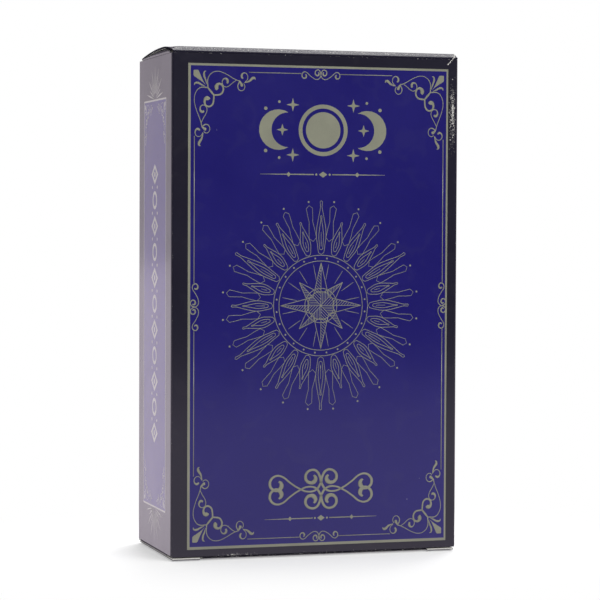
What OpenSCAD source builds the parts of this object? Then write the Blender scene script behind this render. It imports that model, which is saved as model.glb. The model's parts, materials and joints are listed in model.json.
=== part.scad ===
// Boxed tarot deck: a folded tuck carton with two hinged closures and the cards that stand in it.
// Front is -Y, right is +X, up is +Z. The origin is the middle of the underside.

/* [Cards] */
// Width of a card
card_w = 70; // [56:1:90]
// Height of a card
card_h = 120; // [90:1:150]
// Thickness of a card
card_t = 0.34; // [0.26:0.02:0.5]
// Air between neighbouring cards
card_air = 0.02; // [0.01:0.01:0.1]
// Corner radius of a card
card_corner = 3.5; // [1:0.5:8]

/* [Board] */
// Thickness of the carton board
board_t = 0.45; // [0.3:0.05:0.8]
// Inner radius of the upright folds
fold_inner_r = 0.15; // [0.05:0.05:1]
// Amount by which the board is pressed thinner all round at a hinge fold's bead
bead_press = 0.01; // [0.005:0.005:0.05]

/* [Room inside] */
// Free room on each side of the deck
side_slack = 1.8; // [1.2:0.1:5]
// Free room in front of the deck and behind it, where the tuck flaps go
depth_slack = 3; // [1.6:0.1:6]
// Free height between the deck and the upper dust flaps
headroom = 3.2; // [1:0.1:8]
// Gap between the deck and the lower dust flaps
deck_seat = 0.15; // [0.05:0.05:1]

/* [Lid and base] */
// Height of the lid's bow above its folds
crest_h = 1.8; // [1.2:0.1:4]
// Distance of the bow's crest behind the front fold
crest_v = 11; // [8:0.5:20]
// Distance of the lid's and base's side edges from the carton's sides
lid_inset = 0.5; // [0.2:0.1:2]
// Length of the tuck flaps
tuck_len = 11; // [8:0.5:16]
// Corner radius at the tip of the tuck flaps
tuck_corner = 6; // [2:0.5:8]
// Width of the shoulders beside each tuck flap
shoulder_w = 7; // [3:0.5:14]
// Distance of the shoulders' edges from the carton's outer face
shoulder_inset = 0.05; // [0.05:0.05:0.3]
// Width of the slits between tuck flap and shoulders
slit_w = 0.2; // [0.1:0.05:1]

/* [Dust flaps] */
// Reach of the dust flaps across the opening
dust_len = 20; // [12:0.5:26]
// Distance of a dust flap from the closure's own fold
dust_near = 2; // [1.8:0.1:6]
// Distance of a dust flap from the closure's tuck fold
dust_far = 3.4; // [3:0.1:8]
// Width of a dust flap at its tip, before its corners are rounded
dust_tip_w = 8.8; // [7:0.2:12]
// Slant of the edge beside the tuck flap, as a rise for each unit of reach
dust_far_slant = 0.18; // [0:0.02:0.3]
// Corner radius at the tip of the dust flaps
dust_corner = 2.5; // [0.5:0.5:3]
// Depth of the upper dust flaps' folds below the lid's fold
dust_drop = 0.15; // [0:0.05:0.5]

/* [Glue flap] */
// Width of the glue flap
glue_w = 12; // [6:0.5:20]
// Height over which each end of the glue flap slants back
glue_slant = 5; // [1:0.5:10]
// Gap between the ends of the glue flap and the dust flaps
glue_end_gap = 0.5; // [0.2:0.1:4]

/* [Clearances] */
// Gap between a fold's bead and the panel that it turns on
fold_gap = 0.05; // [0.02:0.01:0.2]
// Gap between the base and the lower dust flaps
flap_gap = 0.12; // [0.05:0.01:0.5]
// Gap between a closure's shoulders and the cut edge of the panel under them
edge_gap = 0.3; // [0.25:0.05:1]
// Gap between a tuck flap's fold and the panel that it slides behind
tuck_gap = 0.25; // [0.15:0.05:0.6]
// Gap between the tip of a tuck flap and the deck
tip_gap = 0.25; // [0.1:0.05:0.6]

/* [Hidden] */
$fn = 64;
majors = 22;
pips = 10;
suits = ["wands", "cups", "swords", "pentacles"];
courts = ["page", "knight", "queen", "king"];
suit_size = pips + len(courts);
cards = majors + len(suits) * suit_size;

// Deck
card_pitch = card_t + card_air;
deck_d = cards * card_pitch - card_air;

// Carton
box_w = card_w + 2 * side_slack + 2 * board_t;
box_d = deck_d + 2 * depth_slack + 2 * board_t;
half_t = board_t / 2;
bead_r = half_t - bead_press;
fold_outer_r = fold_inner_r + board_t;
// Length of wall that belongs to an upright fold
corner_reach = 2 * fold_outer_r;

// Heights, from the underside up
low_dust_z = board_t + flap_gap + half_t;
deck_z = low_dust_z + half_t + deck_seat;
top_dust_z = deck_z + card_h + headroom + half_t;
lid_z = top_dust_z + dust_drop;

// Closures: the lid turns at the front, the base at the back
fold_y = box_d / 2 - half_t;
tuck_y = fold_y - board_t - tuck_gap;
closure_len = fold_y + tuck_y;
shoulder_len = fold_y + box_d / 2 - shoulder_inset;
lid_w = box_w - 2 * lid_inset;
tuck_w = lid_w - 2 * shoulder_w - 2 * slit_w;
tuck_room = depth_slack - tuck_gap - board_t - tip_gap;
tuck_lean = asin(tuck_room / tuck_len);
front_arc_r = (pow(crest_v, 2) + pow(crest_h, 2)) / (2 * crest_h);
back_arc_r = (pow(closure_len - crest_v, 2) + pow(crest_h, 2)) / (2 * crest_h);
lid_front_a = asin(crest_v / front_arc_r);

// Upright edges of the panels
front_low = board_t + edge_gap;
front_high = lid_z - half_t - fold_gap;
back_low = board_t + fold_gap;
back_high = lid_z - half_t - edge_gap;
side_low = low_dust_z + half_t + fold_gap;
side_high = top_dust_z - half_t - fold_gap;

// Dust flaps' fold lines, measured from the closure's own fold
dust_start = dust_near;
dust_end = closure_len - dust_far;

board_colour = "#17161d";
front_colour = "#281f63";
inside_colour = "#d8d6d0";
card_colour = "#f2efe6";

function two_digits(i) = str(i < 10 ? "0" : "", i);
function major_name(i) = str("card_major_", two_digits(i));
function pips_name(s) = str("cards_", suits[s], "_ace_to_ten");
function court_name(s, c) = str("card_", suits[s], "_", courts[c]);
function suit_start(s) = majors + s * suit_size;
function unit(v) = v / norm(v);
function half_angle(a, b, c) = acos(unit(a - b) * unit(c - b)) / 2;
// Where a rounded corner at b leaves the line from b to a
function tangent_point(a, b, c, r) = b + unit(a - b) * r / tan(half_angle(a, b, c));
function corner_centre(a, b, c, r) = b + unit(unit(a - b) + unit(c - b)) * r / sin(half_angle(a, b, c));

// A rectangle with round corners, centred on the origin
module rounded_rect(w, h, r) {
    square([w - 2 * r, h], center = true);
    square([w, h - 2 * r], center = true);
    for (x = [-1, 1], y = [-1, 1])
        translate([x * (w / 2 - r), y * (h / 2 - r)])
            circle(r);
}

// A profile drawn in Y and Z, run along X
module along_x(length) {
    translate([-length / 2, 0, 0])
        rotate([90, 0, 90])
            linear_extrude(length)
                children();
}

// The carton's walls in plan, all round
module wall_ring() {
    difference() {
        rounded_rect(box_w, box_d, fold_outer_r);
        rounded_rect(box_w - 2 * board_t, box_d - 2 * board_t, fold_inner_r);
    }
}

// The stretch of the wall ring on the -Y side, mitred into the upright folds
module long_wall() {
    intersection() {
        wall_ring();
        translate([0, -box_d / 2])
            polygon([
                [-box_w / 2, 0],
                [box_w / 2, 0],
                [box_w / 2 - corner_reach, corner_reach],
                [-box_w / 2 + corner_reach, corner_reach]
            ]);
    }
}

// The stretch of the wall ring on the -X side
module short_wall() {
    intersection() {
        wall_ring();
        translate([-box_w / 2, 0])
            polygon([
                [0, -box_d / 2],
                [0, box_d / 2],
                [corner_reach, box_d / 2 - corner_reach],
                [corner_reach, -box_d / 2 + corner_reach]
            ]);
    }
}

module upright(low, high) {
    translate([0, 0, low])
        linear_extrude(high - low)
            children();
}

module front_panel() {
    color(front_colour)
        upright(front_low, front_high)
            long_wall();
}

// The back panel ends inside the right panel, where the glue flap turns forward
module back_panel() {
    color(board_colour)
        upright(back_low, back_high)
            difference() {
                mirror([0, 1])
                    long_wall();
                translate([box_w / 2 - board_t, 0])
                    square([board_t, box_d]);
                translate([box_w / 2 - corner_reach, 0])
                    square([corner_reach, box_d / 2 - board_t]);
            }
}

module left_panel() {
    color(board_colour)
        upright(side_low, side_high)
            short_wall();
}

// The right panel's back edge is cut square and covers the end of the back panel
module right_panel() {
    color(board_colour)
        upright(side_low, side_high) {
            difference() {
                mirror([1, 0])
                    short_wall();
                translate([0, box_d / 2 - corner_reach])
                    square([box_w, corner_reach]);
            }
            translate([box_w / 2 - board_t, box_d / 2 - corner_reach])
                square([board_t, corner_reach]);
        }
}

// Lies flat against the right panel, behind the deck's corner
module glue_flap() {
    low = side_low + glue_end_gap;
    high = side_high - glue_end_gap;
    fold = box_d / 2 - board_t;
    color(inside_colour)
        translate([box_w / 2 - 2 * board_t, 0, 0])
            rotate([90, 0, 90])
                linear_extrude(board_t)
                    polygon([
                        [fold, low],
                        [fold, high],
                        [fold - glue_w, high - glue_slant],
                        [fold - glue_w, low + glue_slant]
                    ]);
}

// Part of a ring of board round a centre, from one angle to another
module board_arc(centre, r, from, to) {
    far = 2 * r;
    mid = (from + to) / 2;
    intersection() {
        translate(centre)
            difference() {
                circle(r + half_t);
                circle(r - half_t);
            }
        translate(centre)
            polygon([
                [0, 0],
                far * [cos(from), sin(from)],
                far * [cos(mid), sin(mid)],
                far * [cos(to), sin(to)]
            ]);
    }
}

// The lid's bowed profile, from its fold to a length past the crest
module bowed_strip(length) {
    back_a = asin((length - crest_v) / back_arc_r);
    circle(bead_r);
    board_arc([crest_v, crest_h - front_arc_r], front_arc_r, 90 + lid_front_a, 90);
    board_arc([crest_v, crest_h - back_arc_r], back_arc_r, 90, 90 - back_a);
}

module both_ends() {
    for (side = [-1, 1])
        translate([side * (lid_w - shoulder_w) / 2, 0, 0])
            children();
}

module lid() {
    color(board_colour)
        translate([0, -fold_y, lid_z]) {
            along_x(lid_w)
                bowed_strip(closure_len - half_t - fold_gap);
            both_ends()
                along_x(shoulder_w)
                    bowed_strip(shoulder_len);
        }
}

module base() {
    color(board_colour)
        translate([0, fold_y, half_t]) {
            rotate([0, 90, 0])
                cylinder(h = lid_w, r = bead_r, center = true);
            translate([-lid_w / 2, -closure_len + half_t + fold_gap, -half_t])
                cube([lid_w, closure_len - half_t - fold_gap, board_t]);
            both_ends()
                translate([-shoulder_w / 2, -shoulder_len, -half_t])
                    cube([shoulder_w, shoulder_len, board_t]);
        }
}

// A tuck flap that hangs from its fold on the X axis and leans in towards -Y
module tuck_flap() {
    color(board_colour) {
        rotate([0, 90, 0])
            cylinder(h = tuck_w, r = bead_r, center = true);
        rotate([90 - tuck_lean, 0, 0])
            linear_extrude(board_t, center = true)
                intersection() {
                    rounded_rect(tuck_w, 2 * tuck_len, tuck_corner);
                    translate([-tuck_w / 2, -tuck_len])
                        square([tuck_w, tuck_len]);
                }
    }
}

module lid_tuck_flap() {
    translate([0, tuck_y, lid_z])
        tuck_flap();
}

module base_tuck_flap() {
    translate([0, -tuck_y, half_t])
        rotate([180, 0, 0])
            tuck_flap();
}

// A dust flap that reaches along +X from its fold on the Y axis, with the closure's own fold at y = 0
module dust_flap() {
    near_root = [0, dust_start];
    far_tip = [dust_len, dust_end - dust_far_slant * dust_len];
    near_tip = far_tip - [0, dust_tip_w];
    far_root = [0, dust_end];
    color(board_colour) {
        translate([0, dust_start, 0])
            rotate([-90, 0, 0])
                cylinder(h = dust_end - dust_start, r = bead_r);
        linear_extrude(board_t, center = true) {
            polygon([
                near_root,
                tangent_point(near_root, near_tip, far_tip, dust_corner),
                tangent_point(far_tip, near_tip, near_root, dust_corner),
                tangent_point(near_tip, far_tip, far_root, dust_corner),
                tangent_point(far_root, far_tip, near_tip, dust_corner),
                far_root
            ]);
            translate(corner_centre(near_root, near_tip, far_tip, dust_corner))
                circle(dust_corner);
            translate(corner_centre(near_tip, far_tip, far_root, dust_corner))
                circle(dust_corner);
        }
    }
}

module dust_flap_from_left() {
    translate([-box_w / 2 + half_t, -fold_y, 0])
        dust_flap();
}

module lid_dust_flap_left() {
    translate([0, 0, top_dust_z])
        dust_flap_from_left();
}

module lid_dust_flap_right() {
    mirror([1, 0, 0])
        lid_dust_flap_left();
}

module base_dust_flap_left() {
    translate([0, 0, low_dust_z])
        mirror([0, 1, 0])
            dust_flap_from_left();
}

module base_dust_flap_right() {
    mirror([1, 0, 0])
        base_dust_flap_left();
}

// One card, counted from the front of the deck
module card(index) {
    color(card_colour)
        translate([0, -deck_d / 2 + index * card_pitch + card_t, deck_z + card_h / 2])
            rotate([90, 0, 0])
                linear_extrude(card_t)
                    rounded_rect(card_w, card_h, card_corner);
}

module card_run(first, count) {
    for (i = [first : first + count - 1])
        card(i);
}

front_panel();
back_panel();
left_panel();
right_panel();
glue_flap();
lid();
lid_tuck_flap();
lid_dust_flap_left();
lid_dust_flap_right();
base();
base_tuck_flap();
base_dust_flap_left();
base_dust_flap_right();
for (i = [0 : majors - 1])
    card(i);
for (s = [0 : len(suits) - 1])
    card_run(suit_start(s), pips);
for (s = [0 : len(suits) - 1])
    for (c = [0 : len(courts) - 1])
        card(suit_start(s) + pips + c);
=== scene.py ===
import json
import math
import bpy
from mathutils import Matrix, Vector


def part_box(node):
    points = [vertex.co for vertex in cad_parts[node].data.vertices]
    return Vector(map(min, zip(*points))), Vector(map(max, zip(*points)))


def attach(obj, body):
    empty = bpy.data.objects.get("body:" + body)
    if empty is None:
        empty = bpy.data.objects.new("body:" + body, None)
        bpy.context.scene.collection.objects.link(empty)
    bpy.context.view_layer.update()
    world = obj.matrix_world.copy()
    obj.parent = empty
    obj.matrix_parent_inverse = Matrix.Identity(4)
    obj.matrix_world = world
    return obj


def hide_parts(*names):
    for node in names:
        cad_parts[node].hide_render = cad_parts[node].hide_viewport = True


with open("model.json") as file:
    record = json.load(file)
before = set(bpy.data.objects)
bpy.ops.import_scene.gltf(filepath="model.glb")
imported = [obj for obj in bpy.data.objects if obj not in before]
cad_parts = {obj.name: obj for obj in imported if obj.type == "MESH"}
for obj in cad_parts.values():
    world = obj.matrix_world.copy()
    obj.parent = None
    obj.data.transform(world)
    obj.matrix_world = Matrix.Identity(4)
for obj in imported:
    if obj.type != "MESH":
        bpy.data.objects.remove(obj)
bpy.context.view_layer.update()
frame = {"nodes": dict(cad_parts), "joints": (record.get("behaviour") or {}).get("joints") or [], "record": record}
nodes = frame["nodes"]
bodies = frame["record"]["behaviour"]["bodies"]
joints = {joint["name"]: joint for joint in frame["joints"]}

MM = 0.001


def axis_of(joint):
    return [c / MM for c in joints[joint]["pos_m"]]


# Carton, in millimetres: the outer faces come from the frame, the board and its folds from the part
half_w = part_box("right_panel")[1].x / MM
half_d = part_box("back_panel")[1].y / MM
front_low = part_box("front_panel")[0].z / MM
front_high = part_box("front_panel")[1].z / MM
lid_half_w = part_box("lid")[1].x / MM
BOARD = 0.45
FOLD_R = 0.6
lid_fold = axis_of("lid_hinge")
lid_crease = axis_of("lid_tuck_crease")
base_fold = axis_of("base_hinge")
base_crease = axis_of("base_tuck_crease")
dust_fold = axis_of("lid_dust_left_hinge")
low_dust_fold = axis_of("base_dust_left_hinge")
CREST_V = 11.0
CREST_H = 1.8
TUCK_LEAN = math.radians(10.74)

# Front print, in millimetres on the front face: the gold frame's outer edges and the widths of its four sides
FRAME_LEFT, FRAME_RIGHT = -33.12, 34.58
FRAME_BOTTOM, FRAME_TOP = 2.5, 121.9
LINE_LEFT, LINE_RIGHT = 0.62, 0.46
LINE_BOTTOM, LINE_TOP = 0.66, 0.55
# The frame's ornament is drawn on a grid that is stretched upright
STRETCH = 1.16
THIN = 0.095
CORNER_SIZE = (0.971, 0.99)
CORNER_INSET = (0.1, 0.38)

# Flat foil: share of a line's half width by which it stands proud, and rise of a filled shape
FOIL_DOME = 0.06
FOIL_RISE = 0.008


def pick_only(piece):
    bpy.ops.object.select_all(action="DESELECT")
    piece.select_set(True)
    bpy.context.view_layer.objects.active = piece


def in_edit_mode(piece):
    pick_only(piece)
    bpy.ops.object.mode_set(mode="EDIT")
    bpy.ops.mesh.select_all(action="SELECT")


def tidy_mesh(piece):
    """Merges doubled points and turns every face outwards."""
    in_edit_mode(piece)
    bpy.ops.mesh.remove_doubles(threshold=1e-7)
    bpy.ops.mesh.normals_make_consistent(inside=False)
    bpy.ops.object.mode_set(mode="OBJECT")


# Foil: lines and shapes are drawn on a flat sheet, x to the right and y up, in millimetres

def swell(widths, share):
    """Half width at a share of a stroke's length, from half widths given evenly along it."""
    place = share * (len(widths) - 1)
    before = min(int(place), len(widths) - 2)
    return widths[before] + (widths[before + 1] - widths[before]) * (place - before)


def polar(radius, angle, centre=(0.0, 0.0)):
    """A place on the sheet, from its distance from a centre and its angle in degrees."""
    turn = math.radians(angle)
    return (centre[0] + radius * math.cos(turn), centre[1] + radius * math.sin(turn))


def curl(centre, radii, angles, knots=9):
    """A spiral on the sheet, from one radius and angle to another."""
    points = []
    for i in range(knots):
        share = i / (knots - 1)
        radius = radii[0] + (radii[1] - radii[0]) * share
        points.append(polar(radius, angles[0] + (angles[1] - angles[0]) * share, centre))
    return points


def foil_lines(name, strokes, smooth=5):
    """Strokes, each a list of points and its half widths, as one mesh of low rounded lines."""
    bpy.ops.object.select_all(action="DESELECT")
    bpy.ops.curve.primitive_bezier_curve_add()
    drawing = bpy.context.object
    drawing.name = name
    curve = drawing.data
    curve.splines.clear()
    for points, widths in strokes:
        closed = points[0] == points[-1]
        knots = points[:-1] if closed else points
        spline = curve.splines.new("BEZIER")
        spline.bezier_points.add(len(knots) - 1)
        spline.use_cyclic_u = closed
        for i, knot in enumerate(spline.bezier_points):
            knot.co = (knots[i][0] * MM, knots[i][1] * MM, 0)
            knot.radius = swell(widths, i / (len(knots) - 1))
    curve.bevel_depth = MM
    curve.bevel_resolution = 1
    curve.resolution_u = smooth
    curve.use_fill_caps = True
    bpy.ops.object.mode_set(mode="EDIT")
    bpy.ops.curve.select_all(action="SELECT")
    bpy.ops.curve.handle_type_set(type="AUTOMATIC")
    bpy.ops.object.mode_set(mode="OBJECT")
    bpy.ops.object.convert(target="MESH")
    in_edit_mode(drawing)
    bpy.ops.transform.resize(value=(1, 1, FOIL_DOME), center_override=(0, 0, 0))
    bpy.ops.object.mode_set(mode="OBJECT")
    bpy.ops.object.shade_smooth()
    tidy_mesh(drawing)
    return drawing


def foil_shapes(name, outlines):
    """Closed outlines, filled as one flat mesh. An outline inside another one is a hole."""
    bpy.ops.object.select_all(action="DESELECT")
    bpy.ops.curve.primitive_bezier_circle_add()
    drawing = bpy.context.object
    drawing.name = name
    curve = drawing.data
    curve.splines.clear()
    for outline in outlines:
        spline = curve.splines.new("POLY")
        spline.points.add(len(outline) - 1)
        spline.use_cyclic_u = True
        for knot, place in zip(spline.points, outline):
            knot.co = (place[0] * MM, place[1] * MM, 0, 1)
    curve.dimensions = "2D"
    curve.fill_mode = "BOTH"
    curve.extrude = FOIL_RISE * MM
    pick_only(drawing)
    bpy.ops.object.convert(target="MESH")
    tidy_mesh(drawing)
    return drawing


def joined(name, pieces):
    pick_only(pieces[0])
    for piece in pieces[1:]:
        piece.select_set(True)
    bpy.ops.object.join()
    pieces[0].name = name
    return pieces[0]


def circle(centre, radius, count=24):
    return curl(centre, (radius, radius), (0, 360), count + 1)


def dot(centre, radius, count=12):
    return circle(centre, radius, count)[:-1]


def star(centre, outer, inner, tips, first=90.0):
    """Outline of a star with straight sides."""
    points = []
    for i in range(2 * tips):
        radius = inner if i % 2 else outer
        points.append(polar(radius, first + 180.0 * i / tips, centre))
    return points


def crescent(centre, radius, bite, shift, opens, count=18):
    """Outline of a crescent: a disc with a round bite taken out of the side that it opens to."""
    reach = (shift * shift + radius * radius - bite * bite) / (2 * shift)
    outer_angle = math.degrees(math.acos(reach / radius))
    inner_angle = math.degrees(math.acos((reach - shift) / bite))
    outer = curl((0, 0), (radius, radius), (outer_angle, 360 - outer_angle), count)
    inner = curl((shift, 0), (bite, bite), (360 - inner_angle, inner_angle), count)
    return [(centre[0] + opens * x, centre[1] + y) for x, y in outer + inner[1:-1]]


def lozenge(centre, width, height):
    x, y = centre
    return [(x - width / 2, y), (x, y - height / 2), (x + width / 2, y), (x, y + height / 2)]


# Panels that carry a print: the turn that stands the sheet up against them, and the sheet's origin
SIDES = {
    "front": (0.0, (0.0, -half_d, 0.0)),
    "back": (math.pi, (0.0, half_d, 0.0)),
    "left": (-math.pi / 2, (-half_w, 0.0, 0.0)),
    "right": (math.pi / 2, (half_w, 0.0, 0.0)),
}


def lay_on(piece, side, at=(0.0, 0.0), scale=(1.0, 1.0)):
    """Scales and shifts a drawing on its sheet, then lays the sheet against a panel, print side out."""
    turn, origin = SIDES[side]
    pick_only(piece)
    piece.scale = (scale[0], scale[1], 1.0)
    piece.location = (at[0] * MM, at[1] * MM, 0.0)
    bpy.ops.object.transform_apply()
    piece.rotation_euler = (math.pi / 2, 0.0, turn)
    piece.location = [c * MM for c in origin]
    bpy.ops.object.transform_apply()
    if scale[0] * scale[1] < 0:
        tidy_mesh(piece)
    piece.data.materials.clear()
    # Side panels take the lighter gold copy, which paints light on their foil
    piece.data.materials.append(lit_side_gold if side in ("left", "right") else gold_ink)
    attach(piece, "carton")
    return piece


def copy_on(master, name, side, at=(0.0, 0.0), scale=(1.0, 1.0)):
    pick_only(master)
    bpy.ops.object.duplicate()
    twin = bpy.context.object
    twin.name = name
    return lay_on(twin, side, at, scale)


# Shader nodes

def wire(tree, node, given):
    for key, value in given.items():
        if isinstance(value, bpy.types.NodeSocket):
            tree.links.new(value, node.inputs[key])
        else:
            node.inputs[key].default_value = value


def put(tree, kind, given=None, out=0, **settings):
    """Adds a node with its settings and inputs, and gives back one of its outputs."""
    node = tree.nodes.new(kind)
    for key, value in settings.items():
        setattr(node, key, value)
    wire(tree, node, given or {})
    return node.outputs[out]


def use(tree, group, given):
    """Places a node group and gives back its outputs."""
    node = tree.nodes.new("ShaderNodeGroup")
    node.node_tree = group
    wire(tree, node, given)
    return node.outputs


def calc(tree, operation, *values):
    return put(tree, "ShaderNodeMath", dict(enumerate(values)), operation=operation)


def times(tree, value, share):
    return calc(tree, "MULTIPLY", value, share)


def highest(tree, first, *others):
    for other in others:
        first = calc(tree, "MAXIMUM", first, other)
    return first


def fade(tree, value, start, end):
    """0 up to start and 1 from end on, eased between them. Start may be the larger one."""
    given = {"Value": value, "From Min": start, "From Max": end}
    return put(tree, "ShaderNodeMapRange", given, interpolation_type="SMOOTHSTEP")


def tint(tree, share, low, high):
    return put(tree, "ShaderNodeMix", {0: share, 6: low, 7: high}, out=2, data_type="RGBA")


def grain(tree, place, scale, detail=2.0, distortion=0.0):
    """Noise with its usual values spread over 0 to 1. The scale counts grains to the millimetre."""
    given = {"Vector": place, "Scale": scale, "Detail": detail, "Distortion": distortion}
    return fade(tree, put(tree, "ShaderNodeTexNoise", given), 0.28, 0.72)


def place_in_mm(tree):
    place = put(tree, "ShaderNodeTexCoord", out="Object")
    return put(tree, "ShaderNodeVectorMath", {0: place, "Scale": 1 / MM}, operation="SCALE")


def bumps(tree, value, rise):
    """Bumps from a value, with their rise in millimetres."""
    return put(tree, "ShaderNodeBump", {"Height": times(tree, value, rise), "Distance": MM}, "Normal")


def split(tree, vector):
    node = tree.nodes.new("ShaderNodeSeparateXYZ")
    tree.links.new(vector, node.inputs[0])
    return node.outputs[0], node.outputs[1], node.outputs[2]


def new_group(name, inputs, outputs):
    tree = bpy.data.node_groups.new(name, "ShaderNodeTree")
    kinds = {"value": "NodeSocketFloat", "vector": "NodeSocketVector", "colour": "NodeSocketColor"}
    for label, kind in inputs:
        tree.interface.new_socket(name=label, in_out="INPUT", socket_type=kinds[kind])
    for label, kind in outputs:
        tree.interface.new_socket(name=label, in_out="OUTPUT", socket_type=kinds[kind])
    source = tree.nodes.new("NodeGroupInput")
    sink = tree.nodes.new("NodeGroupOutput")
    return tree, source.outputs, sink


BARE_BOARD = (0.78, 0.765, 0.735, 1.0)
BARE_SHADE = (0.66, 0.645, 0.61, 1.0)
SCUFF_GREY = (0.11, 0.105, 0.115, 1.0)
# Near-black tone of the lid's cut edge: painted shade
EDGE_PAINTED_SHADE = (0.02, 0.018, 0.024, 1.0)


def make_worn_print():
    """Ink under a gloss film on board: depth 0 is the printed face, wear runs from 0 to 1."""
    inputs = [("Place", "vector"), ("Ink", "colour"), ("Depth", "value"), ("Wear", "value")]
    outputs = [("Color", "colour"), ("Roughness", "value"), ("Gloss", "value"), ("Height", "value")]
    tree, given, sink = new_group("worn_print", inputs, outputs)
    place = given["Place"]
    x, y, z = split(tree, place)
    printed = fade(tree, given["Depth"], 0.11, 0.06)
    cracks = grain(tree, place, 4.0, 5.0, 0.6)
    limit = calc(tree, "SUBTRACT", 1.08, given["Wear"])
    cracked = fade(tree, cracks, calc(tree, "SUBTRACT", limit, 0.05), calc(tree, "ADD", limit, 0.05))
    flat = put(tree, "ShaderNodeCombineXYZ", {
        0: calc(tree, "ADD", x, y),
        1: calc(tree, "MULTIPLY_ADD", y, 0.61, z),
    })
    cells = tree.nodes.new("ShaderNodeTexVoronoi")
    cells.voronoi_dimensions = "2D"
    wire(tree, cells, {"Vector": flat, "Scale": 0.3})
    pick, size = split(tree, cells.outputs["Color"])[:2]
    chosen = calc(tree, "GREATER_THAN", pick, 0.988)
    speck_size = calc(tree, "MULTIPLY_ADD", size, 0.03, 0.008)
    specks = times(tree, chosen, fade(tree, cells.outputs["Distance"], speck_size, 0.006))
    worn = calc(tree, "MAXIMUM", cracked, specks)
    inked = times(tree, printed, calc(tree, "SUBTRACT", 1.0, worn))
    fibre = grain(tree, place, 2.4, 4.0)
    bare = tint(tree, fibre, BARE_SHADE, BARE_BOARD)
    cloud = grain(tree, place, 0.05, 3.0, 0.5)
    fine = grain(tree, place, 5.0, 2.0)
    shade = calc(tree, "MULTIPLY_ADD", cloud, 0.08, calc(tree, "MULTIPLY_ADD", fine, 0.1, 0.91))
    ink = put(tree, "ShaderNodeVectorMath", {0: given["Ink"], "Scale": shade}, operation="SCALE")
    rubbed = times(tree, fade(tree, grain(tree, place, 0.16, 2.0, 1.0), 0.7, 1.0), 0.025)
    ink = tint(tree, rubbed, ink, SCUFF_GREY)
    tree.links.new(tint(tree, inked, bare, ink), sink.inputs["Color"])
    film = calc(tree, "MULTIPLY_ADD", cloud, 0.08, 0.3)
    film = calc(tree, "ADD", film, rubbed)
    rough = put(tree, "ShaderNodeMix", {0: inked, 2: 0.82, 3: film})
    tree.links.new(rough, sink.inputs["Roughness"])
    tree.links.new(inked, sink.inputs["Gloss"])
    waves = times(tree, grain(tree, place, 0.07, 1.0), 0.03)
    pores = times(tree, fine, 0.0006)
    pits = times(tree, worn, -0.02)
    relief = calc(tree, "ADD", calc(tree, "ADD", waves, pores), pits)
    tree.links.new(relief, sink.inputs["Height"])
    return tree


def past_edges(tree, x, y, reach_x, reach_y):
    """How far a place is past a rectangle's edges, each way, and its distance from the rectangle."""
    past_x = calc(tree, "SUBTRACT", calc(tree, "ABSOLUTE", x), reach_x)
    past_y = calc(tree, "SUBTRACT", calc(tree, "ABSOLUTE", y), reach_y)
    over_x = calc(tree, "MAXIMUM", past_x, 0.0)
    over_y = calc(tree, "MAXIMUM", past_y, 0.0)
    square = calc(tree, "MULTIPLY_ADD", over_x, over_x, times(tree, over_y, over_y))
    return past_x, past_y, calc(tree, "SQRT", square)


def make_wall_depth():
    """Depth below the outside of the four walls, and how far a place is into an upright fold."""
    outputs = [("Depth", "value"), ("Fold", "value")]
    tree, given, sink = new_group("wall_depth", [("Place", "vector")], outputs)
    x, y = split(tree, given["Place"])[:2]
    past_x, past_y, away = past_edges(tree, x, y, half_w - FOLD_R, half_d - FOLD_R)
    tree.links.new(calc(tree, "SUBTRACT", FOLD_R, away), sink.inputs["Depth"])
    tree.links.new(calc(tree, "MINIMUM", past_x, past_y), sink.inputs["Fold"])
    return tree


def make_plate_depth():
    """Depth below the printed face of a flat plate, from a point in its middle and its print's direction."""
    inputs = [("Place", "vector"), ("Middle", "vector"), ("Direction", "vector")]
    tree, given, sink = new_group("plate_depth", inputs, [("Depth", "value")])
    away = put(tree, "ShaderNodeVectorMath", {0: given["Place"], 1: given["Middle"]}, operation="SUBTRACT")
    pair = {0: away, 1: given["Direction"]}
    height = put(tree, "ShaderNodeVectorMath", pair, "Value", operation="DOT_PRODUCT")
    tree.links.new(calc(tree, "SUBTRACT", BOARD / 2, height), sink.inputs["Depth"])
    return tree


def make_field_mask():
    """1 inside an upright rectangle on a panel and 0 outside it."""
    names = ["Across", "Up", "Left", "Right", "Bottom", "Top"]
    tree, given, sink = new_group("field_mask", [(n, "value") for n in names], [("Mask", "value")])
    sides = [
        calc(tree, "GREATER_THAN", given["Across"], given["Left"]),
        calc(tree, "LESS_THAN", given["Across"], given["Right"]),
        calc(tree, "GREATER_THAN", given["Up"], given["Bottom"]),
        calc(tree, "LESS_THAN", given["Up"], given["Top"]),
    ]
    mask = sides[0]
    for side in sides[1:]:
        mask = times(tree, mask, side)
    tree.links.new(mask, sink.inputs["Mask"])
    return tree


worn_print = make_worn_print()
wall_depth = make_wall_depth()
plate_depth = make_plate_depth()
field_mask = make_field_mask()

INK_BLACK = (0.0108, 0.0096, 0.0225, 1.0)
INK_INDIGO = (0.0075, 0.0045, 0.142, 1.0)
# Brighter indigo for the side panels than the front's: painted light in place of more light from the left
LIT_SIDE_INDIGO = (0.016, 0.0055, 0.2, 1.0)
SPECULAR = 0.2
DULL_SPECULAR = 0.04
FILM_ROUGHNESS = 0.12


def new_material(name):
    """An empty material with its shader, and the place that it shades, in millimetres."""
    material = bpy.data.materials.new(name)
    material.use_nodes = True
    tree = material.node_tree
    tree.nodes.clear()
    shader = tree.nodes.new("ShaderNodeBsdfPrincipled")
    output = tree.nodes.new("ShaderNodeOutputMaterial")
    tree.links.new(shader.outputs[0], output.inputs[0])
    return material, tree, shader, place_in_mm(tree)


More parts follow.
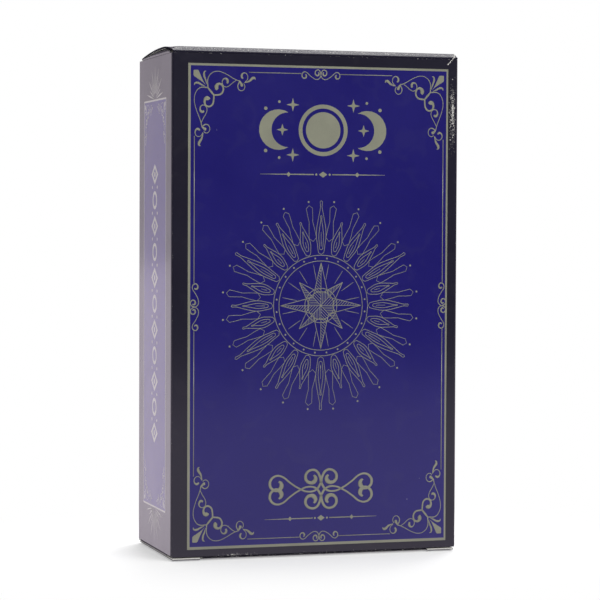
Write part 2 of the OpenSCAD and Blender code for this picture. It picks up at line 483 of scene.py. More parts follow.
def finish_print(tree, shader, place, ink, depth, wear, film=1.0, specular=SPECULAR):
    """Feeds worn print into a material's shader. Film is the share of the gloss film that is on it."""
    worn = use(tree, worn_print, {"Place": place, "Ink": ink, "Depth": depth, "Wear": wear})
    wire(tree, shader, {
        "Base Color": worn["Color"],
        "Roughness": worn["Roughness"],
        "Coat Weight": times(tree, worn["Gloss"], film),
        "Normal": bumps(tree, worn["Height"], 1.0),
        "Specular IOR Level": specular,
        "Coat Roughness": FILM_ROUGHNESS,
    })


def near(tree, value, edge, reach):
    """1 at an edge, fading to 0 at a reach from it."""
    gap = calc(tree, "ABSOLUTE", calc(tree, "SUBTRACT", value, edge))
    return fade(tree, gap, reach, 0.0)


def wall_material(name, field, field_axis, field_ink, side_wear=None):
    """A printed wall: black, with an indigo field, worn along its folds and cut edges."""
    material, tree, shader, place = new_material(name)
    x, y, z = split(tree, place)
    wall = use(tree, wall_depth, {"Place": place})
    left, right, bottom, top = field
    mask = use(tree, field_mask, {
        "Across": {"x": x, "y": y}[field_axis], "Up": z,
        "Left": left, "Right": right, "Bottom": bottom, "Top": top,
    })["Mask"]
    ink = tint(tree, mask, INK_BLACK, field_ink)
    fold_wear = times(tree, fade(tree, wall["Fold"], -0.3, 0.35), 0.08)
    edge_wear = times(tree, near(tree, z, front_high, 0.5), 0.14)
    foot_wear = times(tree, near(tree, z, front_low, 0.5), 0.1)
    wear = highest(tree, fold_wear, edge_wear, foot_wear)
    if side_wear:
        wear = calc(tree, "MAXIMUM", wear, side_wear(tree, x, z))
    finish_print(tree, shader, place, ink, wall["Depth"], wear)
    return material


# Crease across the upper right corner, in millimetres on the front face
CREASE_START = (34.5, 123.12)
CREASE_SLOPE = 1.06
CREASE_REACH = 0.36
CREASE_WEAR = 0.85
# Worn places on the front: across and its reach, up and its reach
RUBBED_FOLD = (35.88, 0.42, 111.4, 6.0)
CHAFED_FOLD = (35.8, 1.7, 110.0, 15.0)
SCUFFED_FOOT = (-20.5, 9.0, front_low, 1.0)


def corner_crease(tree, x, z):
    """A crease that runs slanting across the upper right corner."""
    along = calc(tree, "SUBTRACT", x, CREASE_START[0])
    rise = calc(tree, "MULTIPLY_ADD", along, -CREASE_SLOPE, z)
    line = near(tree, rise, CREASE_START[1], CREASE_REACH)
    return times(tree, line, calc(tree, "GREATER_THAN", along, -0.1))


def worn_place(tree, x, z, place):
    across, across_reach, up, up_reach = place
    return times(tree, near(tree, x, across, across_reach), near(tree, z, up, up_reach))


def front_wear(tree, x, z):
    """Rubbed upper right fold, the corner crease and a scuffed foot."""
    return highest(
        tree,
        times(tree, worn_place(tree, x, z, RUBBED_FOLD), 0.92),
        times(tree, worn_place(tree, x, z, CHAFED_FOLD), 0.38),
        times(tree, corner_crease(tree, x, z), CREASE_WEAR),
        times(tree, worn_place(tree, x, z, SCUFFED_FOOT), 0.34),
    )


front_field = (FRAME_LEFT + 0.3, FRAME_RIGHT - 0.25, FRAME_BOTTOM + 0.3, FRAME_TOP - 0.3)
SIDE_FIELD = (-11.75, 11.75, 11.05, 113.75)
BACK_FIELD = (-33.4, 33.4, 2.7, 121.7)
front_print = wall_material("front_print", front_field, "x", INK_INDIGO, front_wear)
back_print = wall_material("back_print", BACK_FIELD, "x", INK_INDIGO)
# The side panels' field uses the brighter indigo, which paints light on them
side_print = wall_material("side_print", SIDE_FIELD, "y", LIT_SIDE_INDIGO)

TURN_REACH = 0.8
TURN_WEAR = 0.2
# The smaller this share, the higher the dark lip reaches on the base's cut edges: partly wrapped ink, partly
# painted contact shadow
SHADOW_LIP_SHARE = 0.5
DOWN = (0.0, 0.0, -1.0)


def depth_in_plate(tree, place, middle, direction):
    return use(tree, plate_depth, {"Place": place, "Middle": middle, "Direction": direction})["Depth"]


def tuck_material(name, crease, direction):
    """A tuck flap's black print, white inside, worn where it turns at its crease."""
    material, tree, shader, place = new_material(name)
    z = split(tree, place)[2]
    depth = depth_in_plate(tree, place, crease, direction)
    wear = times(tree, near(tree, z, crease[2], TURN_REACH), TURN_WEAR)
    finish_print(tree, shader, place, INK_BLACK, depth, wear)
    return material


lean = (math.cos(TUCK_LEAN), math.sin(TUCK_LEAN))
lid_tuck_print = tuck_material("lid_tuck_print", lid_crease, (0.0, lean[0], -lean[1]))
base_tuck_print = tuck_material("base_tuck_print", base_crease, (0.0, -lean[0], lean[1]))


def base_material():
    """The base's black print: film on its face, and a dull dark lip along its white cut edges, partly wrapped ink
    and partly painted contact shadow.
    """
    material, tree, shader, place = new_material("base_print")
    y = split(tree, place)[1]
    depth = depth_in_plate(tree, place, base_fold, DOWN)
    # Dark lip at the foot of the cut edges: partly ink wrapped round, partly painted contact shadow
    shadow_lip = times(tree, depth, SHADOW_LIP_SHARE)
    wear = times(tree, near(tree, y, base_fold[1], TURN_REACH), TURN_WEAR)
    film = fade(tree, depth, 0.02, 0.0)
    finish_print(tree, shader, place, INK_BLACK, shadow_lip, wear, film, DULL_SPECULAR)
    return material


def low_dust_material():
    """Black print under the lower dust flaps, dull where they turn at their folds."""
    material, tree, shader, place = new_material("low_dust_print")
    across = calc(tree, "ABSOLUTE", split(tree, place)[0])
    fold = abs(low_dust_fold[0])
    flat = fade(tree, across, fold + 0.05, fold - 0.05)
    depth = times(tree, depth_in_plate(tree, place, low_dust_fold, DOWN), flat)
    finish_print(tree, shader, place, INK_BLACK, depth, 0.0, flat, DULL_SPECULAR)
    return material


base_print = base_material()
low_dust_print = low_dust_material()

LID_FILM = 0.06


def lid_material():
    """The bowed lid's black print, dull, and cracked in patches along its front fold."""
    material, tree, shader, place = new_material("lid_print")
    x, y, z = split(tree, place)
    v = calc(tree, "SUBTRACT", y, lid_fold[1])
    turned = fade(tree, v, 0.4, 0.9)
    patches = calc(tree, "MULTIPLY_ADD", grain(tree, place, 1.3, 3.0, 1.0), 0.34, 0.05)
    front = times(tree, times(tree, fade(tree, v, 5.5, 0.8), turned), patches)
    rim = times(tree, near(tree, calc(tree, "ABSOLUTE", x), lid_half_w, 0.4), 0.16)
    crease = times(tree, corner_crease(tree, x, z), CREASE_WEAR)
    wear = highest(tree, front, rim, crease)
    finish_print(tree, shader, place, INK_BLACK, 0.0, wear, times(tree, turned, LID_FILM), DULL_SPECULAR)
    return material


lid_print = lid_material()


def dust_material():
    """Black print on the upper dust flaps, with film only where they turn at their folds."""
    material, tree, shader, place = new_material("dust_print")
    x, z = split(tree, place)[::2]
    wear = times(tree, near(tree, calc(tree, "ABSOLUTE", x), half_w, 0.4), 0.06)
    film = fade(tree, z, lid_fold[2] + 0.3, lid_fold[2] + 0.1)
    finish_print(tree, shader, place, INK_BLACK, 0.0, wear, film, DULL_SPECULAR)
    return material


dust_print = dust_material()


def board_material(name, shade, tone, fibres, fleck_share, rough_base, specular):
    """Unprinted or cut board: matt and fibrous, with a few dark flecks."""
    material, tree, shader, place = new_material(name)
    fibre = grain(tree, place, fibres, 4.0)
    fleck = fade(tree, grain(tree, place, 4.0, 1.0), 0.9, 1.0)
    colour = tint(tree, times(tree, fleck, fleck_share), tint(tree, fibre, shade, tone), SCUFF_GREY)
    bump = bumps(tree, fibre, 0.004)
    rough = calc(tree, "MULTIPLY_ADD", fibre, 0.1, rough_base)
    wire(tree, shader, {
        "Base Color": colour, "Roughness": rough, "Normal": bump, "Specular IOR Level": specular,
    })
    return material


bare_board = board_material("bare_board", BARE_SHADE, BARE_BOARD, 2.4, 0.4, 0.76, 0.3)
# Near-black matt cut edge: painted shade on the lid's rim, in the dark gap over the dust flaps
painted_shade_edge = board_material("painted_shade_edge", INK_BLACK, EDGE_PAINTED_SHADE, 3.0, 0.0, 0.8, 0.02)

GOLD_INK = (0.29, 0.295, 0.215, 1.0)
GOLD_SHADE = (0.22, 0.225, 0.17, 1.0)


def gold_material(name, shade, ink, metallic):
    """Dull gold printing ink under the same gloss film."""
    material, tree, shader, place = new_material(name)
    flake = grain(tree, place, 9.0, 2.0)
    cloud = grain(tree, place, 0.12, 2.0)
    share = calc(tree, "MULTIPLY_ADD", flake, 0.45, times(tree, cloud, 0.55))
    colour = tint(tree, share, shade, ink)
    rough = calc(tree, "MULTIPLY_ADD", flake, 0.16, 0.4)
    bump = bumps(tree, flake, 0.001)
    wire(tree, shader, {
        "Base Color": colour,
        "Roughness": rough,
        "Normal": bump,
        "Metallic": metallic,
        "Coat Weight": 1.0,
        "Coat Roughness": FILM_ROUGHNESS,
    })
    return material


gold_ink = gold_material("gold_ink", GOLD_SHADE, GOLD_INK, 0.15)
# Lighter copy of the gold ink for the side panels: painted light on their foil
lit_side_gold = gold_material("lit_side_gold", (0.5, 0.5, 0.44, 1.0), (0.62, 0.62, 0.55, 1.0), 0.3)

# Cards: white edges and borders, an indigo back with a gold lattice, a cream face with a thin frame
card_low, card_high = (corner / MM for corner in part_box("card_major_00"))
CARD_T = 0.34
CARD_PITCH = 0.36
CARD_WHITE = (0.84, 0.82, 0.77, 1.0)
CARD_SHADE = (0.74, 0.72, 0.67, 1.0)
CARD_GAP_SHADE_AND_TONE = (0.4, 0.38, 0.36, 1.0)
FACE_CREAM = (0.72, 0.63, 0.44, 1.0)
CARD_BORDER = 3.2
CARD_LINE = 0.5
LATTICE = 5.0
LATTICE_LINE = 0.09


def card_material():
    material, tree, shader, place = new_material("card_stock")
    x, y, z = split(tree, place)
    fibre = grain(tree, place, 3.0, 3.0)
    white = tint(tree, fibre, CARD_SHADE, CARD_WHITE)
    turn = calc(tree, "DIVIDE", calc(tree, "SUBTRACT", y, card_low.y - CARD_T / 4), CARD_PITCH)
    layer = calc(tree, "FRACT", calc(tree, "ADD", turn, 0.25))
    tone = put(tree, "ShaderNodeTexWhiteNoise", {"W": calc(tree, "FLOOR", turn)}, noise_dimensions="1D")
    # Darker line at each card's face: partly its printed face seen edge-on, partly painted shade in the gap
    # between cards; each card also gets its own random tone
    gap = calc(tree, "MAXIMUM", near(tree, layer, 0.5, 0.16), times(tree, tone, 0.3))
    white = tint(tree, gap, white, CARD_GAP_SHADE_AND_TONE)

    def inside(inset):
        return use(tree, field_mask, {
            "Across": x, "Up": z,
            "Left": card_low.x + inset, "Right": card_high.x - inset,
            "Bottom": card_low.z + inset, "Top": card_high.z - inset,
        })["Mask"]

    border = inside(CARD_BORDER)
    field = inside(CARD_BORDER + CARD_LINE)
    lines = []
    for sign in (1.0, -1.0):
        slant = calc(tree, "DIVIDE", calc(tree, "MULTIPLY_ADD", z, sign, x), LATTICE)
        phase = calc(tree, "ABSOLUTE", calc(tree, "SUBTRACT", calc(tree, "FRACT", slant), 0.5))
        lines.append(calc(tree, "LESS_THAN", phase, LATTICE_LINE / 2))
    lattice = calc(tree, "MAXIMUM", *lines)
    back = tint(tree, times(tree, lattice, field), INK_INDIGO, GOLD_INK)
    back = tint(tree, calc(tree, "SUBTRACT", border, field), back, GOLD_INK)
    face = tint(tree, calc(tree, "SUBTRACT", border, field), FACE_CREAM, INK_INDIGO)
    is_back = calc(tree, "LESS_THAN", calc(tree, "FRACT", turn), 0.5)
    colour = tint(tree, border, white, tint(tree, is_back, face, back))
    bump = bumps(tree, fibre, 0.002)
    rough = calc(tree, "MULTIPLY_ADD", fibre, 0.12, 0.4)
    wire(tree, shader, {"Base Color": colour, "Roughness": rough, "Normal": bump})
    return material


card_stock = card_material()

NODE_FINISH = {
    "front_panel": front_print,
    "back_panel": back_print,
    "left_panel": side_print,
    "right_panel": side_print,
    "glue_flap": bare_board,
    "lid": lid_print,
    "lid_tuck_flap": lid_tuck_print,
    "base": base_print,
    "base_tuck_flap": base_tuck_print,
    "base_dust_flap_left": low_dust_print,
    "base_dust_flap_right": low_dust_print,
    "lid_dust_flap_left": dust_print,
    "lid_dust_flap_right": dust_print,
}
for name in bodies["deck"]:
    NODE_FINISH[name] = card_stock
for name, finish in NODE_FINISH.items():
    nodes[name].data.materials.clear()
    nodes[name].data.materials.append(finish)


# Corner filigree: the half along the top, drawn to the right and down from the frame's inner corner

def corner_half():
    root = (4.35, 4.33)
    fork = (5.81, 5.93)
    stem_end = (12.78, 2.83)
    leaf_root = (13.95, 3.15)
    stem = [root, (4.44, 2.24), (5.55, 1.13), (7.0, 0.83), (8.64, 1.2), (11.85, 2.61), stem_end]
    scroll = [fork] + curl((7.2, 4.38), (1.5, 0.42), (100, -225), 11)
    small = [(11.85, 2.61), (11.0, 3.1)] + curl((8.98, 3.05), (1.12, 0.45), (70, 400), 10)
    upper = [leaf_root] + curl((13.8, 1.85), (1.14, 0.5), (70, -235), 10)
    lower = [stem_end] + curl((13.15, 3.95), (1.0, 0.85), (225, -50), 9)
    bud = [(12.7, 2.8), (12.95, 3.2), (13.2, 3.65), (13.25, 3.95)]
    leaf = [leaf_root, (15.23, 2.75), (16.14, 2.1), (16.6, 2.1), (16.78, 2.47)]
    side_leaf = [(4.12, 3.7), (3.78, 2.75), (3.36, 1.7), (3.46, 1.0), (3.88, 0.83)]
    return [
        (stem, [0.16, THIN, THIN, THIN, 0.13]),
        (scroll, [0.2, 0.23, 0.23, 0.28, 0.56, 0.42]),
        (small, [0.1, THIN, THIN, 0.14, 0.34, 0.24]),
        (upper, [0.1, THIN, THIN, 0.14, 0.3, 0.2]),
        (lower, [0.18, 0.14, THIN, THIN, 0.1]),
        (bud, [0.12, 0.26, 0.4, 0.3]),
        (leaf, [0.07, 0.26, 0.36, 0.24, 0.08]),
        (side_leaf, [0.06, 0.2, 0.28, 0.2, 0.08]),
    ]


def draw_corner(name):
    """The whole corner: both halves, the stem on the diagonal and the blunt middle leaf."""
    strokes = []
    for points, widths in corner_half():
        strokes.append(([(x, -y * STRETCH) for x, y in points], widths))
        strokes.append(([(y, -x * STRETCH) for x, y in points], widths))
    diagonal = [(4.2, -4.2 * STRETCH), (5.0, -5.0 * STRETCH), (5.87, -5.87 * STRETCH)]
    strokes.append((diagonal, [0.16, 0.26, 0.22]))
    lines = foil_lines(name + "_lines", strokes)
    edge = [(0.75, 0.62), (1.75, 0.62), (1.98, 0.8), (2.6, 1.98), (3.28, 3.15), (3.85, 3.85)]
    leaf = [(x, -y * STRETCH) for x, y in edge]
    leaf += [(y, -x * STRETCH) for x, y in reversed(edge[:-1])]
    return joined(name, [lines, foil_shapes(name + "_leaf", [leaf])])


def draw_middle_scroll(name, along, across):
    """Paired scrolls at the middle of a side: outer swashes and two inner curls that turn to the frame."""
    inner = [(0.0, 0.0), (-0.12, -0.6)] + curl((-0.9, -0.5), (0.76, 0.3), (-60, -410), 10)
    swash = [(0.0, 0.0), (-0.5, 0.66), (-1.24, 0.81), (-2.15, 0.47), (-2.98, -0.07)]
    swash += curl((-4.25, 0.06), (0.86, 0.34), (-60, -420), 10)
    strokes = []
    inner_widths = [0.12, 0.13, 0.14, 0.24, 0.1]
    swash_widths = [0.12, THIN, THIN, 0.13, 0.14, 0.24, 0.1]
    for points, widths in ((inner, inner_widths), (swash, swash_widths)):
        for side in (1, -1):
            strokes.append(([(side * x * along, -y * across) for x, y in points], widths))
    return foil_lines(name, strokes)


def draw_ring(name, left, right, bottom, top, widths):
    """A rectangular foil frame with four side widths: left, right, bottom, top."""
    outer = (left, right, bottom, top)
    inner = (left + widths[0], right - widths[1], bottom + widths[2], top - widths[3])
    return foil_shapes(name, [[(a, c), (b, c), (b, d), (a, d)] for a, b, c, d in (outer, inner)])


# Thin inner line of the front frame, and where it stops for the ornament
INNER_LEFT, INNER_RIGHT = -31.55, 33.3
INNER_BOTTOM, INNER_TOP = 4.65, 119.95
RUN_LEFT, RUN_RIGHT = 13.8, 13.7
RUN_BOTTOM, RUN_TOP = 15.9, 15.8
SCROLL_X, SCROLL_Z = 5.1, 5.9
# How far the middle scrolls stand in from the thick line, at the sides and at top and bottom
SCROLL_REACH = (1.3, 1.1)
SCROLL_DEPTH = 1.82
CENTRE_X, CENTRE_Z = 0.85, 62.2


def frame_lines(left, right, bottom, top, centre):
    """The thin line's eight runs, between corner ornament and middle scrolls."""
    x, z = centre
    strokes = []
    for height in (bottom, top):
        strokes.append([(left + RUN_LEFT, height), (x - SCROLL_X, height)])
        strokes.append([(x + SCROLL_X, height), (right - RUN_RIGHT, height)])
    for side in (left, right):
        strokes.append([(side, bottom + RUN_BOTTOM), (side, z - SCROLL_Z)])
        strokes.append([(side, z + SCROLL_Z), (side, top - RUN_TOP)])
    return [(points, [THIN, THIN]) for points in strokes]


corner = draw_corner("corner_master")
flat_scroll = draw_middle_scroll("scroll_master", 1.0, STRETCH)
upright_scroll = draw_middle_scroll("upright_master", STRETCH, 1.0)
pick_only(upright_scroll)
upright_scroll.rotation_euler = (0.0, 0.0, math.pi / 2)
bpy.ops.object.transform_apply(location=False, rotation=True, scale=False)


def lay_corners(side, left, right, bottom, top, inset, size):
    """The corner ornament in a rectangle's four corners."""
    for name, x, z, flip_x, flip_z in (
        ("top_left", left, top, 1, 1), ("top_right", right, top, -1, 1),
        ("bottom_left", left, bottom, 1, -1), ("bottom_right", right, bottom, -1, -1),
    ):
        at = (x + flip_x * inset[0], z - flip_z * inset[1])
        copy_on(corner, f"{side}_corner_{name}", side, at, (flip_x * size[0], flip_z * size[1]))


def lay_frame(side, outer, widths, inner, centre):
    """A panel's whole frame: thick line, thin line, four corners and four middle scrolls."""
    left, right, bottom, top = outer
    lay_on(draw_ring(side + "_frame_line", *outer, widths), side)
    lay_on(foil_lines(side + "_thin_line", frame_lines(*inner, centre), 1), side)
    in_left, in_right = left + widths[0], right - widths[1]
    in_bottom, in_top = bottom + widths[2], top - widths[3]
    lay_corners(side, in_left, in_right, in_bottom, in_top, CORNER_INSET, CORNER_SIZE)
    x, z = centre
    copy_on(flat_scroll, side + "_scroll_top", side, (x, in_top - SCROLL_DEPTH), (1, 1))
    copy_on(flat_scroll, side + "_scroll_bottom", side, (x, in_bottom + SCROLL_DEPTH), (1, -1))
    copy_on(upright_scroll, side + "_scroll_left", side, (in_left + SCROLL_REACH[0], z), (1, 1))
    copy_on(upright_scroll, side + "_scroll_right", side, (in_right - SCROLL_REACH[1], z), (-1, 1))


lay_frame(
    "front",
    (FRAME_LEFT, FRAME_RIGHT, FRAME_BOTTOM, FRAME_TOP),
    (LINE_LEFT, LINE_RIGHT, LINE_BOTTOM, LINE_TOP),
    (INNER_LEFT, INNER_RIGHT, INNER_BOTTOM, INNER_TOP),
    (CENTRE_X, CENTRE_Z),
)
lay_frame(
    "back",
    (-33.7, 33.7, 2.4, 122.0),
    (0.65, 0.65, 0.65, 0.65),
    (-32.2, 32.2, 4.1, 120.3),
    (0.0, CENTRE_Z),
)


# Middle of the front: a compass star in a ring of petals

def draw_petal(angle, root, reach, width):
    """Strokes of one pointed petal: its outline, a smaller one inside it and a vein."""
    strokes = []
    for share, start in ((1.0, root), (0.5, root + 1.1)):
        end = root + (reach - root) * (0.45 + 0.55 * share)
        stations = ((0.0, 0.0), (0.2, 0.8), (0.42, 1.0), (0.66, 0.62), (0.88, 0.16), (1.0, 0.0))
        sides = []
        for side in (1, -1):
            sides.append([])
            for along, aside in stations:
                radius = start + (end - start) * along
                turn = math.degrees(side * aside * width * share / radius)
                sides[-1].append(polar(radius, angle + turn))
        strokes.append((sides[0] + sides[1][-2::-1], [0.07, 0.07]))
    strokes.append(([polar(root + 2.0, angle), polar(root + 0.42 * (reach - root), angle)], [0.07, 0.04]))
    return strokes


def draw_hatch(root, tip, shoulder, count):
    """Shading lines across one half of a star's point, all of them parallel to the line root to shoulder."""
    strokes = []
    for i in range(1, count):
        share = i / count
        ends = []
        for x, y in (root, shoulder):
            ends.append((x + (tip[0] - x) * share, y + (tip[1] - y) * share))
        strokes.append((ends, [0.06, 0.06]))
    return strokes


PETALS = 24
PETAL_ROOT = 12.5
PETAL_REACH = (25.6, 21.0, 23.2, 21.0)
PETAL_WIDTH = 1.25
RING_RADII = (12.3, 10.9, 4.2, 3.4)
# Both stars: outer and inner radius, and the angle of a tip
STARS = ((10.5, 2.9, 90.0), (8.0, 3.0, 45.0))
HATCHES = 14


def draw_medallion(name):
    strokes = []
    shapes = []
    step = 360 / PETALS
    for i in range(PETALS):
        angle = 90 + step * i
        strokes += draw_petal(angle, PETAL_ROOT, PETAL_REACH[i % 4], PETAL_WIDTH)
        between = angle + step / 2
        spear = []
        for side in (1, -1):
            spear.append([polar(15.8, between), polar(20.6, between + 1.3 * side), polar(24.6, between)])
        strokes.append((spear[0] + spear[1][-2::-1], [0.06, 0.06]))
        shapes.append(dot(polar(25.5, between), 0.24))
        shapes.append(dot(polar(11.6, between), 0.22))
    for radius in RING_RADII:
        strokes.append((circle((0, 0), radius), [0.08, 0.08]))
    for outer, inner, first in STARS:
        outline = star((0, 0), outer, inner, 4, first)
        for start, end in zip(outline, outline[1:] + outline[:1]):
            strokes.append(([start, end], [0.08, 0.08]))
        for i in range(4):
            turn = first + 90 * i
            strokes.append(([(0.0, 0.0), polar(outer, turn)], [0.07, 0.07]))
            strokes += draw_hatch((0.0, 0.0), polar(outer, turn), polar(inner, turn + 45), HATCHES)
    for i in range(16):
        turn = 11.25 + 22.5 * i
        strokes.append(([polar(6.4, turn), polar(8.2, turn), polar(10.2, turn)], [0.04, 0.08, 0.04]))
    lines = foil_lines(name + "_lines", strokes, 3)
    return joined(name, [lines, foil_shapes(name + "_shapes", shapes)])


medallion = draw_medallion("medallion_master")
copy_on(medallion, "front_medallion", "front", (1.1, 62.4), (1.0, 1.02))


# Moon row above it, with a divider, and a scrolled divider below

def draw_moon_row(name):
    """A full moon between two crescents, with stars and dots round them."""
    shapes = [dot((0, 0), 6.4, 48), dot((0, 0), 5.4, 48), dot((0, 0), 4.5, 48)]
    for side in (-1, 1):
        shapes.append(crescent((side * 11.6, 0), 5.0, 4.3, 2.5, -side))
        shapes.append(star((side * 10.6, 0), 1.5, 0.5, 4))
        for up in (1, -1):
            shapes.append(star((side * 7.9, up * 6.2), 1.7, 0.5, 4))
            shapes.append(dot((side * 14.9, up * 5.2), 0.45))
            shapes.append(dot((side * 11.4, up * 6.9), 0.35))
    return foil_shapes(name, shapes)


def draw_divider(name, reach):
    strokes = []
    shapes = [lozenge((0, 0), 2.2, 1.5)]
    for side in (-1, 1):
        strokes.append(([(side * 2.4, 0), (side * reach * 0.6, 0), (side * reach, 0)], [0.16, 0.13, 0.05]))
        shapes.append(dot((side * 1.75, 0), 0.28))
        shapes.append(lozenge((side * reach * 0.55, 0), 1.2, 1.2))
    return joined(name, [foil_lines(name + "_lines", strokes, 2), foil_shapes(name + "_shapes", shapes)])


copy_on(draw_moon_row("moon_master"), "front_moon_row", "front", (1.5, 106.0))
divider = draw_divider("divider_master", 16.3)
copy_on(divider, "front_divider_top", "front", (1.5, 95.0))
copy_on(flat_scroll, "front_divider_scroll_upper", "front", (1.35, 18.1), (2.7, 2.3))
copy_on(flat_scroll, "front_divider_scroll_lower", "front", (1.35, 15.0), (2.7, -2.3))
copy_on(divider, "front_divider_bottom", "front", (1.35, 9.3), (0.9, 0.95))

# Back panel: the medallion again, between two dividers
copy_on(medallion, "back_medallion", "back", (0.0, 62.2), (1.05, 1.05))
copy_on(divider, "back_divider_top", "back", (0.0, 97.0))
copy_on(divider, "back_divider_bottom", "back", (0.0, 27.4))


# Side panels: a thin frame, fans of rays at both ends, small corners and a string of lozenges

def draw_fan(name):
    strokes = []
    rays = 13
    for i in range(rays):
        angle = 10 + 160 * i / (rays - 1)
        reach = 6.0 if i % 2 else 8.4
        strokes.append(([polar(r, angle) for r in (1.6, 0.6 * reach, reach)], [0.07, 0.2, 0.06]))
    return foil_lines(name, strokes, 2)


def draw_string(name, low, high):
    """Upright string of open lozenges and rings, with dots between them."""
    shapes = []
    count = 11
    pitch = (high - low) / (count - 1)
    for i in range(count):
        z = low + pitch * i
        if i % 2:
            shapes.append(dot((0, z), 2.3, 28))
            shapes.append(dot((0, z), 1.5, 28))
        else:
            shapes.append(lozenge((0, z), 6.8, 5.2))
            shapes.append(lozenge((0, z), 4.0, 3.1))
            shapes.append(dot((0, z), 0.7))
        if i < count - 1:
            shapes.append(dot((-2.6, z + pitch / 2), 0.42))
            shapes.append(dot((2.6, z + pitch / 2), 0.42))
    return foil_shapes(name, shapes)


fan = draw_fan("fan_master")
string = draw_string("string_master", 30.0, 95.0)
SIDE_LINES = (0.3, 0.3, 0.42, 0.42)
SIDE_INSET = (0.5, 0.6)
SIDE_SIZE = (0.52, 0.55)
for side in ("left", "right"):
    lay_on(draw_ring(side + "_frame_line", *SIDE_FIELD, SIDE_LINES), side)
    copy_on(fan, side + "_fan_top", side, (0.0, SIDE_FIELD[3]))
    copy_on(fan, side + "_fan_bottom", side, (0.0, SIDE_FIELD[2]), (1, -1))
    copy_on(string, side + "_string", side)
    lay_corners(side, *SIDE_FIELD, SIDE_INSET, SIDE_SIZE)

for master in (corner, flat_scroll, upright_scroll, medallion, divider, fan, string):
    bpy.data.objects.remove(master)
bpy.data.objects.remove(bpy.data.objects["moon_master"])


# Lid and upper dust flaps: springy board that bulges between its folds
LID_LEFT, LID_RIGHT = -36.8, 37.1
LID_CREST = 0.75
LID_TILT = 0.08
RIDGE = 0.52
RIDGE_START, RIDGE_TOP, RIDGE_END = 0.2, 2.3, 7.0
RIDGE_FADE = 1.8
FOLD_BEND = 0.3
DUST_LEN = 20.0
DUST_ROOT = (2.0, 30.41)
DUST_TIP = (18.01, 26.81)
DUST_CORNER = 2.5
LID_CLEAR = 0.1
BULGE_RUN = 1.0


def lid_bow(x, v):
    """Height of the lid's middle layer above its fold. Its crest falls a little to the right."""
    run = CREST_V if v < CREST_V else lid_crease[1] - lid_fold[1] - CREST_V
    radius = (run * run + CREST_H * CREST_H) / (2 * CREST_H)
    bow = CREST_H - radius + math.sqrt(radius * radius - (v - CREST_V) ** 2)
    return bow * (LID_CREST - LID_TILT * x / half_w)


def ease(value, start, end):
    share = min(1.0, max(0.0, (value - start) / (end - start)))
    return share * share * (3 - 2 * share)


def lid_height(x, v):
    """The bow with the ridge behind the front fold, which dies out at the left end."""
    ridge = ease(v, RIDGE_START, RIDGE_TOP) * (1 - ease(v, RIDGE_TOP, RIDGE_END))
    return lid_bow(x, v) + RIDGE * ease(x, LID_LEFT, LID_LEFT + RIDGE_FADE) * ridge


def lid_profile(x):
    """Lid's middle layer at one place across: round the fold, then back over the bow to the tuck crease."""
    slope = math.atan2(lid_height(x, 0.3) - lid_height(x, 0.1), 0.2)
    end = math.pi / 2 + slope
    points = []
    for i in range(6):
        angle = math.pi + (end - math.pi) * i / 5
        points.append((FOLD_BEND * (1 + math.cos(angle)), FOLD_BEND * math.sin(angle)))
    start = points[-1][0]
    shift = lid_height(x, start) - points[-1][1]
    points = [(v, h + shift) for v, h in points]
    last = lid_crease[1] - lid_fold[1] - 0.3
    for i in range(1, 61):
        v = start + (last - start) * (i / 60) ** 1.3
        points.append((v, lid_height(x, v)))
    return points


def flap_edges(u):
    """The flap's near and far edge at a reach from its fold, with round corners at the tip."""
    share = u / DUST_LEN
    near_edge = DUST_ROOT[0] + (DUST_TIP[0] - DUST_ROOT[0]) * share
    far_edge = DUST_ROOT[1] + (DUST_TIP[1] - DUST_ROOT[1]) * share
    past = max(0.0, u - DUST_LEN + DUST_CORNER)
    cut = DUST_CORNER - math.sqrt(max(0.0, DUST_CORNER ** 2 - past ** 2))
    return near_edge + cut, far_edge - cut


def bulge(x, u, v):
    """Rise of the flap above its fold: quick at the fold, then level under the lid."""
    room = lid_fold[2] + lid_bow(x, v) - BOARD - LID_CLEAR - dust_fold[2]
    share = min(1.0, u / BULGE_RUN)
    return max(0.0, room) * (1 - (1 - share) ** 2.2)


def surface(name, across, along):
    """A flat grid to be shaped, one unit wide, and its corners' shares from 0 to 1."""
    bpy.ops.object.select_all(action="DESELECT")
    bpy.ops.mesh.primitive_grid_add(x_subdivisions=across, y_subdivisions=along, size=1.0)
    sheet = bpy.context.object
    sheet.name = name
    return sheet, [(vertex, vertex.co.x + 0.5, vertex.co.y + 0.5) for vertex in sheet.data.vertices]


def make_board(sheet, outside, edge):
    """Gives a shaped surface the board's thickness. The cut edge is 1 for bare board and 2 for a near-black edge
    that paints shade.
    """
    for finish in (outside, bare_board, painted_shade_edge):
        sheet.data.materials.append(finish)
    board = sheet.modifiers.new("board", "SOLIDIFY")
    board.thickness = BOARD * MM
    board.offset = 0.0
    board.material_offset = 1
    board.material_offset_rim = edge
    pick_only(sheet)
    bpy.ops.object.modifier_apply(modifier=board.name)
    tidy_mesh(sheet)
    bpy.ops.object.shade_smooth_by_angle(angle=math.radians(40))


def bowed_lid(name):
    rows = len(lid_profile(0.0))
    lid, corners = surface(name, 60, rows - 1)
    for vertex, share, row in corners:
        x = LID_LEFT + (LID_RIGHT - LID_LEFT) * share
        v, h = lid_profile(x)[round(row * (rows - 1))]
        vertex.co = (x * MM, (v + lid_fold[1]) * MM, (h + lid_fold[2]) * MM)
    # The lid's cut edges are near-black: painted shade under its rim
    make_board(lid, lid_print, 2)
    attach(lid, "lid")
    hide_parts("lid")


